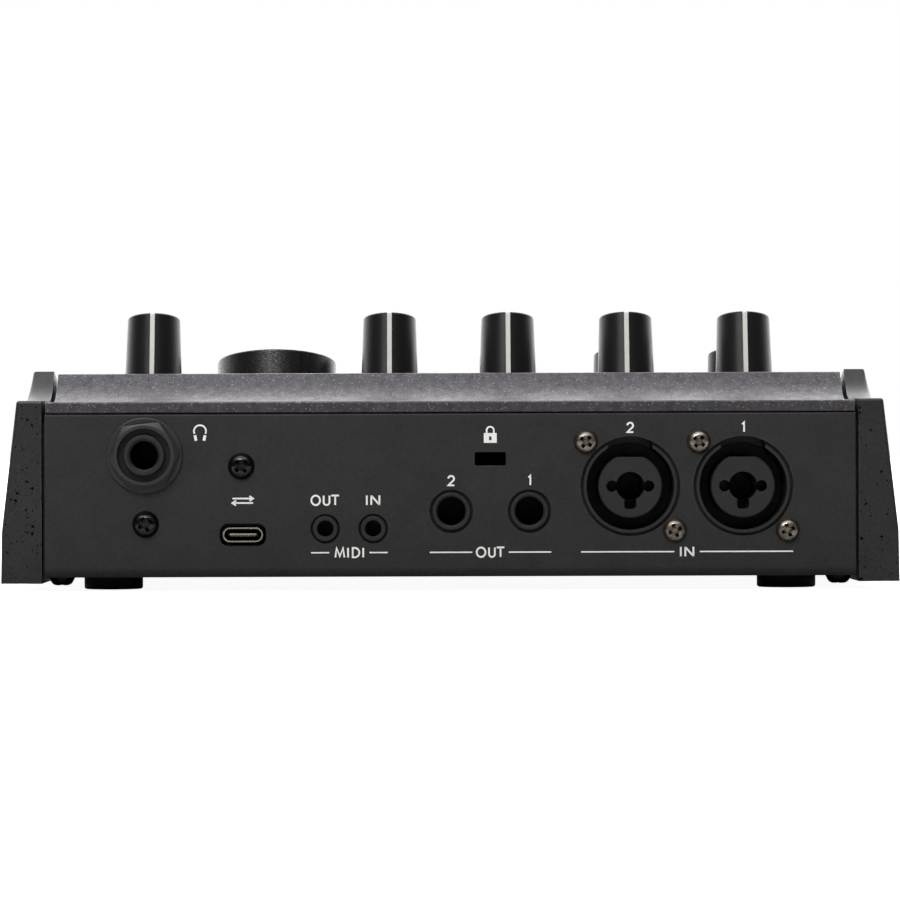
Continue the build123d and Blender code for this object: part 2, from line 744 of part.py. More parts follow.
def build_small_knob(x, down):
    """A tall tapered knob with a shallow groove for its pointer line, pointing up-slope."""
    seat = on_panel(x, down, knob_gap)
    groove_top = knob_height - pointer_depth
    groove_top_r = knob_base_r - knob_height * tan(radians(knob_taper)) - pointer_depth
    with BuildPart() as knob:
        with BuildSketch(seat):
            Circle(knob_base_r)
        extrude(amount=knob_height, taper=knob_taper)
        top = knob.faces().sort_by(Axis((0, 0, 0), panel_normal))[-1]
        fillet(top.edges(), radius=knob_edge)
        with BuildSketch(seat):
            Circle(shaft_r + shaft_grip)
        extrude(amount=shaft_in_knob, mode=Mode.SUBTRACT)
        side_view = Plane(seat.origin, x_dir=seat.y_dir, z_dir=seat.x_dir)
        with BuildSketch(side_view.offset(-pointer_width / 2)):
            Polygon(
                (0, knob_height + 1),
                (0, groove_top),
                (groove_top_r - groove_corner, groove_top),
                (groove_top_r, groove_top - groove_corner),
                (knob_base_r - pointer_depth, 0),
                (knob_base_r + 1, 0),
                (knob_base_r + 1, knob_height + 1),
                align=None,
            )
        extrude(amount=pointer_width, mode=Mode.SUBTRACT)
    return knob.part


for name, (x, down) in small_knobs.items():
    finish(build_small_knob(x, down), name)
    finish(build_shaft(x, down, knob_gap + shaft_in_knob - shaft_tip_gap), f"{name}_shaft")

with BuildPart() as output_knob:
    seat = on_panel(*output_place, knob_gap)
    with BuildSketch(seat):
        Circle(output_knob_r)
    extrude(amount=output_knob_height)
    top = output_knob.faces().sort_by(Axis((0, 0, 0), panel_normal))[-1]
    fillet(top.edges(), radius=output_knob_edge)
    with BuildSketch(seat):
        Circle(output_knob_r - output_knob_wall)
        Circle(output_knob_hub_r, mode=Mode.SUBTRACT)
    extrude(amount=output_knob_height - output_knob_roof, mode=Mode.SUBTRACT)
    with BuildSketch(seat):
        Circle(shaft_r + shaft_grip)
    extrude(amount=output_knob_height - output_knob_roof, mode=Mode.SUBTRACT)
finish(output_knob.part, "output_knob")
output_shaft_top = knob_gap + output_knob_height - output_knob_roof - shaft_tip_gap
finish(build_shaft(*output_place, output_shaft_top), "output_knob_shaft")

# ---- push button caps ----
collar_top = -sheet - cap_rest_gap
stem_top = collar_top - cap_collar
stem_foot = switch_height - board_depth + cap_travel + cap_stem_play
for name, (x, down) in button_places.items():
    with BuildPart() as cap:
        with BuildSketch(on_panel(x, down, collar_top)):
            RectangleRounded(*cap_size, cap_corner)
        extrude(amount=cap_proud - collar_top)
        top = cap.faces().sort_by(Axis((0, 0, 0), panel_normal))[-1]
        fillet(top.edges(), radius=cap_edge)
        with BuildSketch(on_panel(x, down, collar_top)):
            RectangleRounded(cap_size[0] + 2 * cap_collar, cap_size[1] + 2 * cap_collar, cap_corner)
        extrude(amount=-cap_collar)
        with BuildSketch(on_panel(x, down, stem_top)):
            Circle(cap_stem_r)
        extrude(amount=stem_foot - stem_top)
    finish(cap.part, name)
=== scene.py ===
import json
import math

import bmesh
import bpy
from mathutils import Matrix, Vector


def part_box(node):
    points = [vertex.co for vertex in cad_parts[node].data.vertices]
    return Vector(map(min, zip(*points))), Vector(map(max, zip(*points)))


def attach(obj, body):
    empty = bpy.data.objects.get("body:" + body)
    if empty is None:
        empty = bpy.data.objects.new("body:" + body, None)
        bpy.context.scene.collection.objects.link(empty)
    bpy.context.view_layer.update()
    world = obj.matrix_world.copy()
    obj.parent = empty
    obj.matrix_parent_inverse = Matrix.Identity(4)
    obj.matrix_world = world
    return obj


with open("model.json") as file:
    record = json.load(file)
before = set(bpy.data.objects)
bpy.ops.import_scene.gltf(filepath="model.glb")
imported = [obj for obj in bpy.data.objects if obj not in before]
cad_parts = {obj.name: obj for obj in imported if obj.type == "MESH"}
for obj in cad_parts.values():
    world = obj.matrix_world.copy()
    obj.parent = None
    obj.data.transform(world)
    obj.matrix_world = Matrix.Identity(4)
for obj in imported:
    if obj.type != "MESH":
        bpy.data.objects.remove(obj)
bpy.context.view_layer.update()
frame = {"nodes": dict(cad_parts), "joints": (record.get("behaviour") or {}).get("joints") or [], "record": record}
mm = 0.001
mounts = {m["name"]: Vector(m["pos_m"]) for m in frame["record"]["mounts"]}
joints = {j["child"]: j for j in frame["joints"]}
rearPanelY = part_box("side_cheek_left")[1].y
print("frame loaded,", len(frame["nodes"]), "nodes")


# camera, light and world
cameraSpec = {
    "x": 4.46 * mm,
    "height": 31.5 * mm,
    "distance": 1.0,  # from the socket panel
    "lens": 179.2,
    "shift": 20 / 900,
    "roll": -0.186,
}
lightSpec = {
    # place, aimed at, size, watts
    "topSoftbox": ((0.15, 0.35, 1.15), (0, 0.03, 0.04), (1.7, 1.1), 9.5),
    "keyHigh": ((0.3, 1.05, 0.85), (0, 0.05, 0.03), (0.7, 0.35), 9.0),
    "backHigh": ((-0.2, -1.0, 0.9), (0, 0, 0.04), (1.2, 0.5), 5.0),
}
worldSpec = {
    "seen": 1.0,  # to the camera
    "low": 0.05,
    "overhead": 0.35,
    "backdrop": 3.2,  # far side of the room, seen mirrored at grazing angles
    "overheadFull": 0.9,  # upward part of a direction at which the overhead light is full
    "backdropSpan": (0.1, -0.75),  # Y part of a direction, from none of the backdrop to all of it
}


def aimed(place, target, roll=0.0):
    turn = (Vector(target) - Vector(place)).to_track_quat("-Z", "Y").to_matrix().to_4x4()
    return Matrix.Translation(place) @ turn @ Matrix.Rotation(math.radians(roll), 4, "Z")


def makeCamera(spec):
    data = bpy.data.cameras.new("camera")
    data.lens = spec["lens"]
    data.sensor_width = 36
    data.shift_x = spec["shift"]
    data.clip_end = 50
    camera = bpy.data.objects.new("camera", data)
    place = (spec["x"], rearPanelY + spec["distance"], spec["height"])
    camera.matrix_world = aimed(place, (place[0], 0, place[2]), spec["roll"])
    bpy.context.collection.objects.link(camera)
    bpy.context.scene.camera = camera


def makeLights(spec):
    for name, (place, target, size, watts) in spec.items():
        data = bpy.data.lights.new(name, "AREA")
        data.shape = "RECTANGLE"
        data.size, data.size_y = size
        data.energy = watts
        lamp = bpy.data.objects.new(name, data)
        lamp.matrix_world = aimed(place, target)
        lamp.visible_camera = False
        bpy.context.collection.objects.link(lamp)


def makeWorld(spec):
    # white to the camera, and for light a room that is bright above and behind the object
    world = bpy.data.worlds.new("studio")
    bpy.context.scene.world = world
    world.use_nodes = True
    tree = world.node_tree
    glow = tree.nodes["Background"]
    glow.inputs["Color"].default_value = (1, 1, 1, 1)
    way = tree.nodes.new("ShaderNodeSeparateXYZ")
    tree.links.new(tree.nodes.new("ShaderNodeTexCoord").outputs["Generated"], way.inputs[0])
    above = remap(tree, way.outputs["Z"], 0.0, spec["overheadFull"], spec["low"], spec["overhead"])
    away = remap(tree, way.outputs["Y"], *spec["backdropSpan"], 0.0, spec["backdrop"])
    tree.links.new(math2(tree, "ADD", above, away), glow.inputs["Strength"])
    seen = tree.nodes.new("ShaderNodeBackground")
    seen.inputs["Color"].default_value = (1, 1, 1, 1)
    seen.inputs["Strength"].default_value = spec["seen"]
    path = tree.nodes.new("ShaderNodeLightPath")
    mix = tree.nodes.new("ShaderNodeMixShader")
    tree.links.new(path.outputs["Is Camera Ray"], mix.inputs["Fac"])
    tree.links.new(glow.outputs[0], mix.inputs[1])
    tree.links.new(seen.outputs[0], mix.inputs[2])
    tree.links.new(mix.outputs[0], tree.nodes["World Output"].inputs["Surface"])


makeCamera(cameraSpec)
makeLights(lightSpec)
bpy.context.scene.view_settings.view_transform = "Standard"
print("camera and lights placed")


# shader node groups
def newGroup(name, inputs, outputs):
    tree = bpy.data.node_groups.new(name, "ShaderNodeTree")
    for label, value in inputs.items():
        socket = tree.interface.new_socket(label, in_out="INPUT", socket_type="NodeSocketFloat")
        socket.default_value = value
    for label, kind in outputs.items():
        tree.interface.new_socket(label, in_out="OUTPUT", socket_type=kind)
    return tree, tree.nodes.new("NodeGroupInput"), tree.nodes.new("NodeGroupOutput")


def math2(tree, operation, a, b, clamp=False):
    node = tree.nodes.new("ShaderNodeMath")
    node.operation = operation
    node.use_clamp = clamp
    for socket, value in zip(node.inputs, (a, b)):
        if isinstance(value, (int, float)):
            socket.default_value = value
        else:
            tree.links.new(value, socket)
    return node.outputs[0]


def remap(tree, value, low, high, toLow=0.0, toHigh=1.0, smooth=True):
    node = tree.nodes.new("ShaderNodeMapRange")
    node.interpolation_type = "SMOOTHSTEP" if smooth else "LINEAR"
    sockets = {"Value": value, "From Min": low, "From Max": high, "To Min": toLow, "To Max": toHigh}
    for label, item in sockets.items():
        if isinstance(item, (int, float)):
            node.inputs[label].default_value = item
        else:
            tree.links.new(item, node.inputs[label])
    return node.outputs["Result"]


def objectPoint(tree):
    return tree.nodes.new("ShaderNodeTexCoord").outputs["Object"]


def noiseOf(tree, point, scale, detail=2.0, rough=0.5):
    node = tree.nodes.new("ShaderNodeTexNoise")
    tree.links.new(point, node.inputs["Vector"])
    if isinstance(scale, (int, float)):
        node.inputs["Scale"].default_value = scale
    else:
        tree.links.new(scale, node.inputs["Scale"])
    node.inputs["Detail"].default_value = detail
    node.inputs["Roughness"].default_value = rough
    return node.outputs["Fac"]


def cellsOf(tree, point, scale):
    node = tree.nodes.new("ShaderNodeTexVoronoi")
    tree.links.new(point, node.inputs["Vector"])
    if isinstance(scale, (int, float)):
        node.inputs["Scale"].default_value = scale
    else:
        tree.links.new(scale, node.inputs["Scale"])
    return node


def buildMottle():
    # slow patches of tone, and a fine orange-peel height
    tree, given, result = newGroup(
        "paintMottle",
        {"Patch Scale": 60, "Grain Scale": 2500, "Contrast": 0.5},
        {"Tone": "NodeSocketFloat", "Height": "NodeSocketFloat"},
    )
    point = objectPoint(tree)
    patches = noiseOf(tree, point, given.outputs["Patch Scale"], 4, 0.6)
    grain = noiseOf(tree, point, given.outputs["Grain Scale"], 2, 0.6)
    swing = math2(tree, "SUBTRACT", patches, 0.5)
    fine = math2(tree, "MULTIPLY", math2(tree, "SUBTRACT", grain, 0.5), 0.8)
    both = math2(tree, "MULTIPLY", math2(tree, "ADD", swing, fine), given.outputs["Contrast"])
    tree.links.new(math2(tree, "ADD", both, 0.5, True), result.inputs["Tone"])
    tree.links.new(grain, result.inputs["Height"])
    return tree


def buildFleck():
    # bright metal flakes of random size in a coat
    tree, given, result = newGroup(
        "metalFleck",
        {"Scale": 2200, "Amount": 0.25, "Size": 0.35},
        {"Mask": "NodeSocketFloat", "Tint": "NodeSocketFloat"},
    )
    point = objectPoint(tree)
    cells = cellsOf(tree, point, given.outputs["Scale"])
    split = tree.nodes.new("ShaderNodeSeparateColor")
    tree.links.new(cells.outputs["Color"], split.inputs[0])
    chosen = math2(tree, "LESS_THAN", split.outputs["Red"], given.outputs["Amount"])
    radius = math2(tree, "MULTIPLY", given.outputs["Size"], math2(tree, "ADD", split.outputs["Green"], 0.3))
    near = math2(tree, "LESS_THAN", cells.outputs["Distance"], radius)
    tree.links.new(math2(tree, "MULTIPLY", chosen, near), result.inputs["Mask"])
    tree.links.new(split.outputs["Blue"], result.inputs["Tint"])
    return tree


def buildPits():
    # ragged little holes, fewer in some patches than in others, and none on what faces up
    tree, given, result = newGroup(
        "castPits",
        {"Scale": 700, "Amount": 0.3, "Size": 0.33, "Ragged": 0.25},
        {"Mask": "NodeSocketFloat", "Height": "NodeSocketFloat"},
    )
    point = objectPoint(tree)
    cells = cellsOf(tree, point, given.outputs["Scale"])
    split = tree.nodes.new("ShaderNodeSeparateColor")
    tree.links.new(cells.outputs["Color"], split.inputs[0])
    patch = noiseOf(tree, point, 90, 3, 0.6)
    limit = math2(tree, "MULTIPLY", given.outputs["Amount"], math2(tree, "MULTIPLY", patch, 2.0))
    chosen = math2(tree, "LESS_THAN", split.outputs["Red"], limit)
    wobble = noiseOf(tree, point, 2600, 3, 0.7)
    ragged = math2(tree, "MULTIPLY", math2(tree, "SUBTRACT", wobble, 0.5), given.outputs["Ragged"])
    reach = math2(tree, "ADD", cells.outputs["Distance"], math2(tree, "MULTIPLY", ragged, 2.0))
    radius = math2(tree, "MULTIPLY", given.outputs["Size"], math2(tree, "ADD", split.outputs["Green"], 0.25))
    edge = math2(tree, "MULTIPLY", radius, 0.7)
    inside = remap(tree, reach, edge, radius, 1.0, 0.0)
    facing = tree.nodes.new("ShaderNodeSeparateXYZ")
    tree.links.new(tree.nodes.new("ShaderNodeNewGeometry").outputs["True Normal"], facing.inputs[0])
    upright = remap(tree, facing.outputs["Z"], 0.2, 0.35, 1.0, 0.0)
    mask = math2(tree, "MULTIPLY", math2(tree, "MULTIPLY", inside, chosen), upright)
    tree.links.new(mask, result.inputs["Mask"])
    tree.links.new(math2(tree, "SUBTRACT", 1.0, mask), result.inputs["Height"])
    return tree


def buildEdgeWearAndHighlight():
    # finds convex and concave edges by comparing the face's normal with a rounded one; the mask lightens them,
    # partly as wear and partly as a painted edge highlight
    tree, given, result = newGroup(
        "edgeWearAndHighlight",
        {"Radius": 0.0006, "Breakup": 900, "Amount": 0.5},
        {"Mask": "NodeSocketFloat"},
    )
    bevel = tree.nodes.new("ShaderNodeBevel")
    bevel.samples = 4
    tree.links.new(given.outputs["Radius"], bevel.inputs["Radius"])
    geometry = tree.nodes.new("ShaderNodeNewGeometry")
    dot = tree.nodes.new("ShaderNodeVectorMath")
    dot.operation = "DOT_PRODUCT"
    tree.links.new(bevel.outputs["Normal"], dot.inputs[0])
    tree.links.new(geometry.outputs["True Normal"], dot.inputs[1])
    turned = remap(tree, dot.outputs["Value"], 0.75, 0.98, 1.0, 0.0)
    broken = remap(tree, noiseOf(tree, objectPoint(tree), given.outputs["Breakup"], 4, 0.65), 0.42, 0.62)
    mask = math2(tree, "MULTIPLY", math2(tree, "MULTIPLY", turned, broken), given.outputs["Amount"], True)
    tree.links.new(mask, result.inputs["Mask"])
    return tree


def buildCreviceShade():
    # painted shade: dark where surfaces close in on each other
    tree, given, result = newGroup(
        "creviceShade",
        {"Reach": 0.0012, "Low": 0.45, "High": 0.8},
        {"Mask": "NodeSocketFloat"},
    )
    nearby = tree.nodes.new("ShaderNodeAmbientOcclusion")
    nearby.samples = 8
    tree.links.new(given.outputs["Reach"], nearby.inputs["Distance"])
    closed = remap(tree, nearby.outputs["AO"], given.outputs["Low"], given.outputs["High"], 1.0, 0.0)
    tree.links.new(closed, result.inputs["Mask"])
    return tree


def buildDust():
    # specks of lint and a thin film, thicker on what faces up
    tree, given, result = newGroup(
        "dustFilm",
        {"Speck Scale": 900, "Amount": 0.5},
        {"Mask": "NodeSocketFloat"},
    )
    point = objectPoint(tree)
    cells = cellsOf(tree, point, given.outputs["Speck Scale"])
    split = tree.nodes.new("ShaderNodeSeparateColor")
    tree.links.new(cells.outputs["Color"], split.inputs[0])
    chosen = math2(tree, "LESS_THAN", split.outputs["Red"], 0.05)
    near = math2(tree, "LESS_THAN", cells.outputs["Distance"], 0.16)
    normal = tree.nodes.new("ShaderNodeNewGeometry")
    parts = tree.nodes.new("ShaderNodeSeparateXYZ")
    tree.links.new(normal.outputs["Normal"], parts.inputs[0])
    upward = remap(tree, parts.outputs["Z"], 0.2, 1.0, 0.15, 1.0)
    film = remap(tree, noiseOf(tree, point, 130, 5, 0.7), 0.4, 0.8, 0.0, 0.35)
    total = math2(tree, "MAXIMUM", film, math2(tree, "MULTIPLY", chosen, near))
    mask = math2(tree, "MULTIPLY", math2(tree, "MULTIPLY", total, upward), given.outputs["Amount"], True)
    tree.links.new(mask, result.inputs["Mask"])
    return tree


def buildTurning():
    # short streaks left by brushing round a tilted axis through the middle of the mesh's own box
    tree, given, result = newGroup(
        "turnedLines",
        {"Rings": 3000, "Streak": 20, "Tilt": math.radians(13), "Across": 0.0287},
        {"Height": "NodeSocketFloat", "Tone": "NodeSocketFloat"},
    )
    here = tree.nodes.new("ShaderNodeSeparateXYZ")
    tree.links.new(objectPoint(tree), here.inputs[0])
    share = tree.nodes.new("ShaderNodeSeparateXYZ")
    tree.links.new(tree.nodes.new("ShaderNodeTexCoord").outputs["Generated"], share.inputs[0])
    sideX = math2(tree, "SUBTRACT", share.outputs["X"], 0.5)
    sideY = math2(tree, "SUBTRACT", share.outputs["Y"], 0.5)
    around = math2(tree, "ARCTAN2", sideY, sideX)
    square = math2(tree, "ADD", math2(tree, "MULTIPLY", sideX, sideX), math2(tree, "MULTIPLY", sideY, sideY))
    outward = math2(tree, "MULTIPLY", math2(tree, "SQRT", square, 0), given.outputs["Across"])
    upPart = math2(tree, "MULTIPLY", here.outputs["Z"], math2(tree, "COSINE", given.outputs["Tilt"], 0))
    backPart = math2(tree, "MULTIPLY", here.outputs["Y"], math2(tree, "SINE", given.outputs["Tilt"], 0))
    level = math2(tree, "ADD", math2(tree, "SUBTRACT", upPart, backPart), outward)
    along = tree.nodes.new("ShaderNodeCombineXYZ")
    tree.links.new(math2(tree, "MULTIPLY", level, given.outputs["Rings"]), along.inputs["X"])
    tree.links.new(math2(tree, "MULTIPLY", around, given.outputs["Streak"]), along.inputs["Y"])
    lines = noiseOf(tree, along.outputs[0], 1.0, 3, 0.7)
    tone = remap(tree, lines, 0.3, 0.7)
    tree.links.new(lines, result.inputs["Height"])
    tree.links.new(tone, result.inputs["Tone"])
    return tree


groups = {
    "mottle": buildMottle(),
    "fleck": buildFleck(),
    "pits": buildPits(),
    "edgeWearAndHighlight": buildEdgeWearAndHighlight(),
    "creviceShade": buildCreviceShade(),
    "dust": buildDust(),
    "turning": buildTurning(),
}
makeWorld(worldSpec)
print("node groups and world built")


# materials
# one material while it is being wired
class Finish:
    def __init__(self, name, roughness=0.5, metallic=0.0, **fixed):
        self.material = bpy.data.materials.new(name)
        self.material.use_nodes = True
        self.tree = self.material.node_tree
        self.shader = self.tree.nodes["Principled BSDF"]
        self.shader.inputs["Roughness"].default_value = roughness
        self.shader.inputs["Metallic"].default_value = metallic
        for label, value in fixed.items():
            self.shader.inputs[label.replace("_", " ")].default_value = value

    def group(self, name, **values):
        node = self.tree.nodes.new("ShaderNodeGroup")
        node.node_tree = groups[name]
        for label, value in values.items():
            node.inputs[label.replace("_", " ")].default_value = value
        return node.outputs

    def blend(self, factor, a, b):
        node = self.tree.nodes.new("ShaderNodeMix")
        node.data_type = "RGBA"
        self.tree.links.new(factor, node.inputs["Factor"])
        for socket, value in ((node.inputs["A"], a), (node.inputs["B"], b)):
            if isinstance(value, (tuple, list)):
                socket.default_value = (*value, 1)
            else:
                self.tree.links.new(value, socket)
        return node.outputs["Result"]

    def color(self, value):
        self.tree.links.new(value, self.shader.inputs["Base Color"])

    def roughness(self, value, low, high):
        self.tree.links.new(remap(self.tree, value, 0, 1, low, high, False), self.shader.inputs["Roughness"])

    def bump(self, height, depth, strength=1.0):
        node = self.tree.nodes.new("ShaderNodeBump")
        node.inputs["Distance"].default_value = depth
        node.inputs["Strength"].default_value = strength
        before = self.shader.inputs["Normal"].links
        if before:
            self.tree.links.new(before[0].from_socket, node.inputs["Normal"])
        self.tree.links.new(height, node.inputs["Height"])
        self.tree.links.new(node.outputs["Normal"], self.shader.inputs["Normal"])


def powderCoat():
    # the tray's charcoal powder coat
    spec = {
        "dark": (0.0095, 0.0094, 0.0096), "light": (0.0175, 0.0171, 0.0171),
        "wearAndHighlightTone": (0.06, 0.058, 0.056), "dust": (0.1, 0.097, 0.095),
    }
    finish = Finish("powderCoat", Specular_IOR_Level=0.35)
    mottle = finish.group("mottle", Patch_Scale=130, Grain_Scale=1500, Contrast=1.6)
    wearAndHighlight = finish.group("edgeWearAndHighlight", Radius=0.0006, Breakup=500, Amount=0.5)
    dust = finish.group("dust", Speck_Scale=500, Amount=0.1)
    paint = finish.blend(mottle["Tone"], spec["dark"], spec["light"])
    # edges lightened partly by wear and partly as a painted highlight
    paint = finish.blend(wearAndHighlight["Mask"], paint, spec["wearAndHighlightTone"])
    finish.color(finish.blend(dust["Mask"], paint, spec["dust"]))
    finish.roughness(mottle["Tone"], 0.62, 0.5)
    finish.bump(mottle["Height"], 0.00004, 0.5)
    return finish.material


def fleckedCoat():
    # the cover's metallic grey with bright flakes
    spec = {
        "dark": (0.05, 0.047, 0.052), "light": (0.1, 0.094, 0.103),
        "flake": (0.2, 0.19, 0.205), "wearAndHighlightTone": (0.24, 0.23, 0.245),
    }
    finish = Finish("fleckedCoat", metallic=0.95)
    mottle = finish.group("mottle", Patch_Scale=500, Grain_Scale=2600, Contrast=1.6)
    fleck = finish.group("fleck", Scale=3400, Amount=0.15, Size=0.42)
    sparse = finish.group("fleck", Scale=1700, Amount=0.03, Size=0.28)
    wearAndHighlight = finish.group("edgeWearAndHighlight", Radius=0.0005, Breakup=300, Amount=0.9)
    paint = finish.blend(mottle["Tone"], spec["dark"], spec["light"])
    paint = finish.blend(fleck["Mask"], paint, spec["flake"])
    paint = finish.blend(sparse["Mask"], paint, spec["flake"])
    # edges lightened partly by wear and partly as a painted highlight
    finish.color(finish.blend(wearAndHighlight["Mask"], paint, spec["wearAndHighlightTone"]))
    finish.roughness(mottle["Tone"], 0.56, 0.42)
    finish.bump(mottle["Height"], 0.00004, 0.5)
    return finish.material


def pittedCasting():
    # the cheeks' grey metallic coat over a pitted casting
    spec = {
        "dark": (0.036, 0.0355, 0.037), "light": (0.06, 0.059, 0.062),
        "pitShade": (0.001, 0.001, 0.001), "wearAndHighlightTone": (0.16, 0.157, 0.16),
    }
    finish = Finish("pittedCasting", metallic=0.95)
    mottle = finish.group("mottle", Patch_Scale=90, Grain_Scale=2400, Contrast=1.2)
    pits = finish.group("pits", Scale=860, Amount=0.42, Size=0.36, Ragged=0.4)
    small = finish.group("pits", Scale=2100, Amount=0.42, Size=0.36, Ragged=0.4)
    wearAndHighlight = finish.group("edgeWearAndHighlight", Radius=0.0006, Breakup=800, Amount=0.35)
    paint = finish.blend(mottle["Tone"], spec["dark"], spec["light"])
    # edges lightened partly by wear and partly as a painted highlight
    paint = finish.blend(wearAndHighlight["Mask"], paint, spec["wearAndHighlightTone"])
    # the pits are coloured near black: painted shade inside the holes
    paint = finish.blend(small["Mask"], paint, spec["pitShade"])
    finish.color(finish.blend(pits["Mask"], paint, spec["pitShade"]))
    finish.roughness(mottle["Tone"], 0.5, 0.36)
    finish.bump(mottle["Height"], 0.00003, 0.5)
    finish.bump(small["Height"], 0.00008, 0.7)
    finish.bump(pits["Height"], 0.00018, 0.9)
    return finish.material


# lint on plastic, how far its colour falls in the painted crevice shade, and how far it rises on an edge lightened
# partly by wear and partly by a painted highlight
plasticSpec = {"lint": (0.2, 0.195, 0.19), "creviceShade": 0.25, "wearAndHighlightTone": 2.6, "wearAndHighlightLift": 0.01, "gloss": 0.07}


def satinPlastic(name, dark, light, roughness, grainScale=2600, grainDepth=0.00002,
                 shine=0.5, reach=0.0012):
    finish = Finish(name, Specular_IOR_Level=shine)
    creviceShade = finish.group("creviceShade", Reach=reach)
    mottle = finish.group("mottle", Patch_Scale=160, Grain_Scale=grainScale, Contrast=0.9)
    wearAndHighlight = finish.group("edgeWearAndHighlight", Radius=0.0004, Breakup=1200, Amount=0.25)
    dust = finish.group("dust", Speck_Scale=700, Amount=0.08)
    wearAndHighlightTone = tuple(min(1, plasticSpec["wearAndHighlightTone"] * c + plasticSpec["wearAndHighlightLift"]) for c in light)
    creviceShadeTone = tuple(plasticSpec["creviceShade"] * c for c in dark)
    paint = finish.blend(mottle["Tone"], dark, light)
    # edges lightened partly by wear and partly as a painted highlight
    paint = finish.blend(wearAndHighlight["Mask"], paint, wearAndHighlightTone)
    paint = finish.blend(dust["Mask"], paint, plasticSpec["lint"])
    # painted shade: the colour darkens where surfaces close in
    finish.color(finish.blend(creviceShade["Mask"], paint, creviceShadeTone))
    finish.roughness(mottle["Tone"], roughness + plasticSpec["gloss"], roughness - plasticSpec["gloss"])
    finish.bump(mottle["Height"], grainDepth, 0.5)
    return finish.material


# plate: how much duller and glossier than given its tones run, and the colour of its painted crevice shade
plateSpec = {"duller": 0.12, "glossier": 0.08, "creviceShade": (0.0015, 0.0014, 0.0013)}


def platedMetal(name, dark, light, roughness, edgeWearAndHighlightTone=None, reach=0.0009):
    finish = Finish(name, metallic=1.0)
    mottle = finish.group("mottle", Patch_Scale=700, Grain_Scale=4200, Contrast=2.2)
    wearAndHighlight = finish.group("edgeWearAndHighlight", Radius=0.00025, Breakup=2000, Amount=0.5)
    creviceShade = finish.group("creviceShade", Reach=reach, Low=0.5, High=0.88)
    paint = finish.blend(mottle["Tone"], dark, light)
    # edges lightened partly by wear and partly as a painted highlight
    paint = finish.blend(wearAndHighlight["Mask"], paint, edgeWearAndHighlightTone or light)
    # painted shade: the colour goes near black where surfaces close in
    finish.color(finish.blend(creviceShade["Mask"], paint, plateSpec["creviceShade"]))
    finish.roughness(mottle["Tone"], roughness + plateSpec["duller"], roughness - plateSpec["glossier"])
    finish.bump(mottle["Height"], 0.00002, 0.4)
    return finish.material


def turnedBlack():
    # the output knob: black anodised, brushed round its axis
    spec = {"dark": (0.008, 0.0077, 0.0077), "light": (0.055, 0.053, 0.052), "wearAndHighlightTone": (0.16, 0.158, 0.155)}
    finish = Finish("turnedBlack", metallic=0.9, Anisotropic=0.75)
    lines = finish.group("turning", Rings=5200, Streak=14)
    wearAndHighlight = finish.group("edgeWearAndHighlight", Radius=0.0003, Breakup=1200, Amount=0.4)
    paint = finish.blend(lines["Tone"], spec["dark"], spec["light"])
    # edges lightened partly by wear and partly as a painted highlight
    finish.color(finish.blend(wearAndHighlight["Mask"], paint, spec["wearAndHighlightTone"]))
    finish.roughness(lines["Tone"], 0.36, 0.24)
    finish.bump(lines["Height"], 0.00002, 0.5)
    tangent = finish.tree.nodes.new("ShaderNodeTangent")
    tangent.direction_type = "RADIAL"
    tangent.axis = "Z"
    finish.tree.links.new(tangent.outputs[0], finish.shader.inputs["Tangent"])
    return finish.material


def whiteInk(name="whiteInk", dark=(0.74, 0.735, 0.72), light=(0.9, 0.895, 0.88)):
    finish = Finish(name, roughness=0.6)
    mottle = finish.group("mottle", Patch_Scale=900, Grain_Scale=5000, Contrast=0.8)
    finish.color(finish.blend(mottle["Tone"], dark, light))
    finish.roughness(mottle["Tone"], 0.65, 0.5)
    finish.bump(mottle["Height"], 0.00001, 0.5)
    return finish.material


def smokedLens():
    # the level meter's window
    spec = {"dark": (0.006, 0.006, 0.007), "light": (0.012, 0.012, 0.013)}
    finish = Finish("smokedLens", Coat_Weight=0.4, Coat_Roughness=0.05)
    mottle = finish.group("mottle", Patch_Scale=200, Grain_Scale=3000, Contrast=0.5)
    finish.color(finish.blend(mottle["Tone"], spec["dark"], spec["light"]))
    finish.roughness(mottle["Tone"], 0.16, 0.1)
    return finish.material


def palePaper():
    # bright to the camera, duller to bounced light so that it doesn't wash out the object
    spec = {
        "seen": (0.93, 0.93, 0.93), "seenLight": (0.96, 0.96, 0.96),
        "bounced": (0.43, 0.425, 0.415), "glow": 1.0,
    }
    finish = Finish("palePaper", roughness=0.9, Specular_IOR_Level=0.0)
    mottle = finish.group("mottle", Patch_Scale=3, Grain_Scale=400, Contrast=0.3)
    path = finish.tree.nodes.new("ShaderNodeLightPath").outputs["Is Camera Ray"]
    paper = finish.blend(mottle["Tone"], spec["seen"], spec["seenLight"])
    finish.color(finish.blend(path, spec["bounced"], paper))
    finish.tree.links.new(paper, finish.shader.inputs["Emission Color"])
    glow = math2(finish.tree, "MULTIPLY", path, spec["glow"])
    finish.tree.links.new(glow, finish.shader.inputs["Emission Strength"])
    return finish.material


